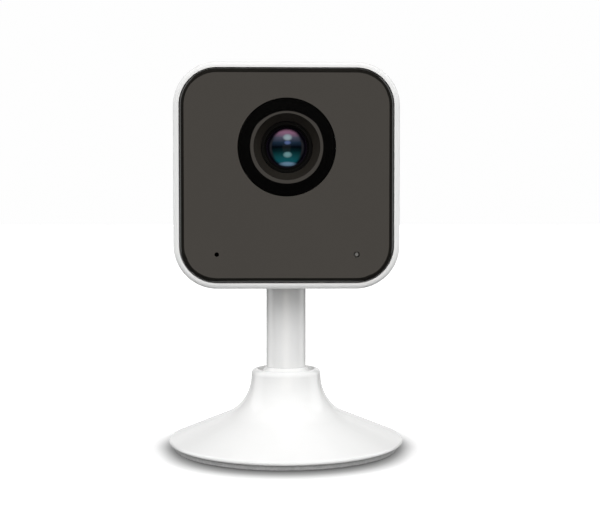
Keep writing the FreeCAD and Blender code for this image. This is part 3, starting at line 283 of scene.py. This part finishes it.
def painted_reflection_glass(name):
    """Dark lens with painted reflections: a coating colour that turns from violet to teal, a grey arc, and
    on it the ghosts of the inner glasses.
    """
    material, tree, shader = new_material(name)
    set_sockets(shader, specular=0.06)
    offset = add(tree, "ShaderNodeVectorMath", operation="SUBTRACT")
    tree.links.new(place(tree), offset.inputs[0])
    offset.inputs[1].default_value = lens_centre
    split = add(tree, "ShaderNodeSeparateXYZ")
    tree.links.new(offset.outputs["Vector"], split.inputs["Vector"])
    x = maths(tree, "MULTIPLY", split.outputs["X"], 1 / MM)
    z = maths(tree, "MULTIPLY", split.outputs["Z"], 1 / MM)

    height = maths(tree, "DIVIDE", z, glass_seen_radius)
    # Painted reflection: violet above, a near-black band in the middle, teal below.
    painted_bands = ramp(tree, spread(tree, height, 0.0, 1.0, -1.0, 1.0),
                 [((level + 1) / 2, color) for level, color in PAINTED_REFLECTION_BANDS])
    # The painted reflections fade to near black towards the glass's edge.
    reach = length(tree, maths(tree, "DIVIDE", x, painted_zone_half_width), height)
    color = mix(tree, spread(tree, reach, 0.0, 1.0, 0.86, 1.03, smooth=True), painted_bands, (0.004, 0.003, 0.007))

    # Painted reflection: a thin grey arc down each side of the glass.
    from_painted_arc = maths(tree, "ABSOLUTE", maths(tree, "SUBTRACT", length(tree, x, z), painted_arc_radius))
    painted_arc = maths(tree, "MULTIPLY", spread(tree, from_painted_arc, 1.0, 0.0, 0.05, 0.5, smooth=True),
                spread(tree, maths(tree, "ABSOLUTE", z), 1.0, 0.0, 0.8, 3.4, smooth=True))
    color = mix(tree, painted_arc, color, (0.028, 0.029, 0.034))

    # Painted highlights: each ghost is painted into the glass's colour.
    for ghost_x, ghost_z, half_width, half_height, tone in PAINTED_GHOSTS:
        u = maths(tree, "DIVIDE", maths(tree, "SUBTRACT", x, ghost_x), half_width)
        v = maths(tree, "DIVIDE", maths(tree, "SUBTRACT", z, ghost_z), half_height)
        away = maths(tree, "ADD", maths(tree, "MULTIPLY", u, u), maths(tree, "MULTIPLY", v, v))
        color = mix(tree, spread(tree, away, 1.0, 0.0, 0.0, 1.7, smooth=True), color, tone)
    tree.links.new(color, shader.inputs["Base Color"])
    tree.links.new(spread(tree, noise(tree, 1.5), 0.03, 0.05), shader.inputs["Roughness"])
    return material


def build_materials():
    white = (0.92, 0.92, 0.914)
    return {
        "white_plastic": moulded("white_plastic", white, 0.10, vary=0.02, grain_depth_mm=0.0004,
                                 tint=0.006),
        "black_acrylic": moulded("black_acrylic", (0.012, 0.011, 0.0095), 0.03, vary=0.01,
                                 grain_depth_mm=0.0001, tint=0.05),
        "hood_black": moulded("hood_black", (0.0016, 0.0015, 0.0014), 0.05, vary=0.015,
                              grain_depth_mm=0.0002),
        "hood_satin": moulded("hood_satin", (0.0190, 0.0162, 0.0130), 0.40, vary=0.04, grain_depth_mm=0.002,
                              specular=0.12),
        "lens_black": moulded("lens_black", (0.0030, 0.0028, 0.0026), 0.45, vary=0.05, grain_depth_mm=0.003,
                              specular=0.08),
        "violet_black": moulded("violet_black", (0.006, 0.0035, 0.009), 0.30, vary=0.05,
                                grain_depth_mm=0.002, specular=0.10),
        "painted_reflection_glass": painted_reflection_glass("painted_reflection_glass"),
        "lens_glass": glass("lens_glass", (0.93, 0.97, 0.98)),
        "filter_glass": glass("filter_glass", (0.75, 0.92, 0.95)),
        "clear_plastic": moulded("clear_plastic", (0.13, 0.13, 0.125), 0.15, grain_depth_mm=0.001),
        "rubber_foot": rubber("rubber_foot", (0.42, 0.42, 0.42)),
        "acetal": moulded("acetal", (0.78, 0.78, 0.77), 0.38),
        "steel": metal("steel", (0.56, 0.56, 0.57), 0.32),
        "nickel": metal("nickel", (0.78, 0.76, 0.72), 0.16),
        "circuit_board": circuit_board("circuit_board", (0.012, 0.11, 0.05)),
        "chip_black": moulded("chip_black", (0.02, 0.02, 0.022), 0.55, grain_depth_mm=0.01),
        "sensor_glass": moulded("sensor_glass", (0.06, 0.045, 0.09), 0.08, tint=0.3),
        "aluminium": metal("aluminium", (0.80, 0.80, 0.81), 0.38, (12, 1, 1)),
        "silicone_pad": rubber("silicone_pad", (0.35, 0.45, 0.55), 0.6),
        "connector_ivory": moulded("connector_ivory", (0.72, 0.66, 0.52), 0.45),
        "switch_body": moulded("switch_body", (0.03, 0.03, 0.03), 0.45),
        "soft_black": rubber("soft_black", (0.004, 0.004, 0.004), 0.85),
        "cone_paper": rubber("cone_paper", (0.03, 0.03, 0.032), 0.9),
        "speaker_frame": moulded("speaker_frame", (0.025, 0.025, 0.025), 0.5, grain_depth_mm=0.01),
        "antenna_film": moulded("antenna_film", (0.42, 0.19, 0.03), 0.25, tint=0.15),
        "ribbon_film": moulded("ribbon_film", (0.74, 0.74, 0.77), 0.3),
        "copper": metal("copper", (0.72, 0.36, 0.18), 0.3, (1, 1, 30), 0.8),
        "ferrite": metal("ferrite", (0.10, 0.10, 0.11), 0.5),
        "led_yellow": moulded("led_yellow", (0.80, 0.72, 0.35), 0.3, tint=0.1),
        "infrared_diode": moulded("infrared_diode", (0.05, 0.04, 0.06), 0.12),
    }


materials = build_materials()
slot_of = {row["node"]: row["material_slot"] for row in record["subparts"]}


def finish_node(name, finish):
    """Gives a CAD node its material."""
    data = nodes[name].data
    data.materials.clear()
    data.materials.append(materials[finish])


for node_name in nodes:
    finish_node(node_name, slot_of[node_name])
finish_node("microphone", "soft_black")  # painted shade: the microphone is made black so the hole in front of it shows dark


# ------------------------------------------------------------------ lens pieces
SHARP_EDGE_DEG = 28


def lathe(name, profile, segments=144):
    """A piece turned about the lens axis. A step is (radius, depth, finish of the span after it), in mm."""
    mesh = bmesh.new()
    finishes = list(dict.fromkeys(finish for _, _, finish in profile[:-1]))
    rings = []
    for radius, depth, _ in profile:
        angles = [TAU * step / segments for step in range(segments if radius else 1)]
        points = [Vector((radius * math.cos(a), depth, radius * math.sin(a))) for a in angles]
        rings.append([mesh.verts.new(lens_centre + point * MM) for point in points])
    for (_, _, finish), ring, following in zip(profile, rings, rings[1:]):
        for step in range(segments):
            after = step + 1
            corners = [ring[step % len(ring)], ring[after % len(ring)],
                       following[after % len(following)], following[step % len(following)]]
            face = mesh.faces.new(list(dict.fromkeys(corners)))
            face.smooth = True
            face.material_index = finishes.index(finish)
    bmesh.ops.recalc_face_normals(mesh, faces=mesh.faces)
    data = bpy.data.meshes.new(name)
    mesh.to_mesh(data)
    mesh.free()
    for finish in finishes:
        data.materials.append(materials[finish])
    data.set_sharp_from_angle(angle=math.radians(SHARP_EDGE_DEG))
    piece = bpy.data.objects.new(name, data)
    bpy.context.scene.collection.objects.link(piece)
    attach(piece, "head")
    return piece


def make_hood():
    """Raised surround: upright foot, polished slope, flat lip and a satin funnel down to the barrel."""
    rim, lip = hood_rim_radius, hood_rim_radius - hood_lip_width
    slope_foot, foot_round, edge = hood_proud - 0.22, 0.10, 0.06
    piece = lathe("lens_surround", [
        (hood_base_radius, hood_proud + 2.0, "hood_black"),
        (hood_base_radius, slope_foot + foot_round, "hood_black"),
        (hood_base_radius - 0.03, slope_foot + 0.04, "hood_black"),
        (hood_base_radius - foot_round, slope_foot, "hood_black"),
        (rim + 0.12, edge, "hood_black"),
        (rim + 0.05, 0.015, "hood_black"),
        (rim, 0.0, "hood_black"),
        (lip, 0.0, "hood_black"),
        (lip - 0.05, 0.03, "lens_black"),
        (lip - 0.07, 0.30, "hood_satin"),
        (hood_throat_radius + 0.12, 2.10, "lens_black"),
        (hood_throat_radius + 0.02, 2.22, "lens_black"),
        (hood_throat_radius + 0.02, 3.10, "lens_black"),
    ])
    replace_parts(piece, "lens_hood")


def make_retaining_ring():
    """Threaded ring that holds the front glass, turned with fine anti-glare steps."""
    steps, inner = 7, glass_seen_radius
    front, back = ring_front_depth, ring_back_depth
    outer = ring_radius
    profile = [(outer, back, "lens_black"), (outer, front, "lens_black")]
    for step in range(steps):
        share = step / steps
        radius = outer - 0.15 - (outer - 0.15 - inner) * share
        depth = front + (back - front) * share
        finish = "lens_black" if step < steps - 3 else "violet_black"
        profile += [(radius, depth, finish), (radius, depth + (back - front) / steps * 0.8, finish)]
    profile += [(inner, back, "lens_black"), (outer, back, "lens_black")]
    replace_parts(lathe("anti_glare_ring", profile), "lens_retaining_ring")


def make_front_glass():
    """Domed front element."""
    rings = 14
    profile = []
    for step in range(rings + 1):
        radius = glass_radius * step / rings
        sag = glass_curve_radius - math.sqrt(glass_curve_radius**2 - radius**2)
        profile.append((radius, glass_apex_depth + sag, "painted_reflection_glass"))
    edge_depth = profile[-1][1] + 0.8
    profile += [(glass_radius, edge_depth, "painted_reflection_glass"), (0, edge_depth, "painted_reflection_glass")]
    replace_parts(lathe("front_glass", profile), "front_lens")


make_hood()
make_retaining_ring()
make_front_glass()


# ------------------------------------------------------------------ camera
CAMERA_PLACE_MM = Vector((-3.56, -299.66, 63.07))
CAMERA_DOWN_DEG = 2.06
CAMERA_RIGHT_DEG = 1.416
CAMERA_LENS_MM = 65.55


def make_camera():
    data = bpy.data.cameras.new("camera")
    data.lens = CAMERA_LENS_MM
    data.clip_start = 0.01
    camera = bpy.data.objects.new("camera", data)
    camera.location = CAMERA_PLACE_MM * MM
    camera.rotation_euler = (math.radians(90 - CAMERA_DOWN_DEG), 0, math.radians(-CAMERA_RIGHT_DEG))
    bpy.context.scene.collection.objects.link(camera)
    bpy.context.scene.camera = camera


# ------------------------------------------------------------------ studio
FLOOR_HALF_M = 8.0
# Painted contact shadow: how light the paper is to the camera, by distance in mm from the foot's edge at
# the front.
CONTACT_SHADE = [
    (-4.0, 0.10), (0.0, 0.15), (2.0, 0.24), (4.0, 0.36),
    (6.0, 0.57), (8.0, 0.78), (10.5, 0.94), (14.0, 1.0),
]
SIDE_SHIFT_MM = 3.5  # the painted shadow is this much narrower at the foot's sides
FLOOR_GLOW = 0.25  # the paper's own light to the camera, which keeps it white
FLOOR_BOUNCE = 0.28  # how light the paper is to all other rays
# Brightness of the soft light on matt surfaces, by where it comes from.
SKY_LOW = 0.6
SKY_FRONT = 2.25
SKY_AROUND = 0.55
SKY_TOP = 0.3
FRONT_FADE_DEG = (50.0, 110.0)  # azimuth over which the front's brightness fades
LOW_FADE_DEG = (6.0, 26.0)  # elevation over which the horizon's brightness gives way
TOP_FADE_DEG = (50.0, 70.0)  # elevation over which the top's brightness takes over
WHITE_TO_CAMERA = 0.99
ROOM_DARK = 0.02
ROOM_BEHIND = 0.80
# Softboxes that gloss mirrors: azimuth from the front (+ to the right), elevation, soft edge, radiance.
SOFTBOXES = [
    ((-16, 16), (-14, 15), 3.0, (1.30, 1.19, 1.06)),
    ((-122, -84), (-12, 50), 8.0, (1.4, 1.4, 1.4)),
    ((84, 122), (-12, 50), 8.0, (1.4, 1.4, 1.4)),
]


def make_floor():
    """White paper with a painted soft contact shadow round the foot, wider at the front."""
    half = FLOOR_HALF_M
    mesh = bpy.data.meshes.new("floor")
    corners = [(-half, -half, 0), (half, -half, 0), (half, half, 0), (-half, half, 0)]
    mesh.from_pydata(corners, [], [(0, 1, 2, 3)])
    floor = bpy.data.objects.new("floor", mesh)
    bpy.context.scene.collection.objects.link(floor)
    material, tree, shader = new_material("floor_paper")
    set_sockets(shader, roughness=1.0, specular=0.0)
    split = add(tree, "ShaderNodeSeparateXYZ")
    tree.links.new(place(tree), split.inputs["Vector"])
    x = maths(tree, "MULTIPLY", split.outputs["X"], 1 / MM)
    y = maths(tree, "MULTIPLY", split.outputs["Y"], 1 / MM)
    radius = length(tree, x, y)
    ahead = maths(tree, "DIVIDE", maths(tree, "MULTIPLY", y, -1.0), maths(tree, "MAXIMUM", radius, 1.0))
    out = maths(tree, "ADD", maths(tree, "SUBTRACT", radius, foot_radius),
                spread(tree, ahead, SIDE_SHIFT_MM, 0.0, 0.2, 0.95, smooth=True))
    first, last = CONTACT_SHADE[0][0], CONTACT_SHADE[-1][0]
    stops = [((distance - first) / (last - first), grey(light)) for distance, light in CONTACT_SHADE]
    # Painted contact shadow, carried into both the paper's colour and its glow.
    painted_shadow = ramp(tree, spread(tree, out, 0.0, 1.0, first, last), stops)
    paths = add(tree, "ShaderNodeLightPath")
    seen = mix(tree, paths.outputs["Is Camera Ray"], grey(FLOOR_BOUNCE), painted_shadow)
    glow = mix(tree, paths.outputs["Is Camera Ray"], grey(0.0), painted_shadow)
    tree.links.new(glow, shader.inputs["Emission Color"])
    shader.inputs["Emission Strength"].default_value = FLOOR_GLOW
    tree.links.new(seen, shader.inputs["Base Color"])
    mesh.materials.append(material)
    floor.visible_glossy = False


def window(tree, value, low, high, edge):
    """1 between low and high, fading to 0 over edge."""
    rise = spread(tree, value, 0.0, 1.0, low - edge / 2, low + edge / 2, smooth=True)
    fall = spread(tree, value, 1.0, 0.0, high - edge / 2, high + edge / 2, smooth=True)
    return maths(tree, "MULTIPLY", rise, fall)


def make_world():
    """White to the camera, a sky brightest in front to matt faces, and softboxes in the dark to gloss."""
    world = bpy.data.worlds.new("studio")
    bpy.context.scene.world = world
    world.use_nodes = True
    world.cycles.sampling_method = "NONE"
    tree = world.node_tree
    background = tree.nodes["Background"]
    coordinates = add(tree, "ShaderNodeTexCoord")
    split = add(tree, "ShaderNodeSeparateXYZ")
    tree.links.new(coordinates.outputs["Generated"], split.inputs["Vector"])
    toward_front = maths(tree, "MULTIPLY", split.outputs["Y"], -1.0)
    azimuth = maths(tree, "DEGREES", maths(tree, "ARCTAN2", split.outputs["X"], toward_front))
    elevation = maths(tree, "DEGREES", maths(tree, "ARCSINE", split.outputs["Z"]))

    behind = spread(tree, split.outputs["Y"], 0.0, 1.0, 0.80, 0.97, smooth=True)
    room = mix(tree, behind, grey(ROOM_DARK), grey(ROOM_BEHIND))
    for (left, right), (low, high), edge, radiance in SOFTBOXES:
        inside = maths(tree, "MULTIPLY", window(tree, azimuth, left, right, edge),
                       window(tree, elevation, low, high, edge))
        room = mix(tree, inside, room, radiance)

    from_front = spread(tree, maths(tree, "ABSOLUTE", azimuth), 1.0, 0.0, *FRONT_FADE_DEG, smooth=True)
    above_low = spread(tree, elevation, 0.0, 1.0, *LOW_FADE_DEG, smooth=True)
    at_top = spread(tree, elevation, 0.0, 1.0, *TOP_FADE_DEG, smooth=True)
    soft = mix(tree, from_front, grey(SKY_AROUND), grey(SKY_FRONT))
    soft = mix(tree, above_low, grey(SKY_LOW), soft)
    soft = mix(tree, at_top, soft, grey(SKY_TOP))
    paths = add(tree, "ShaderNodeLightPath")
    light = mix(tree, paths.outputs["Is Glossy Ray"], soft, room)
    light = mix(tree, paths.outputs["Is Camera Ray"], light, grey(WHITE_TO_CAMERA))
    tree.links.new(light, background.inputs["Color"])


make_camera()
make_floor()
make_world()
bpy.context.scene.view_settings.view_transform = "Standard"
bpy.context.scene.view_settings.look = "None"
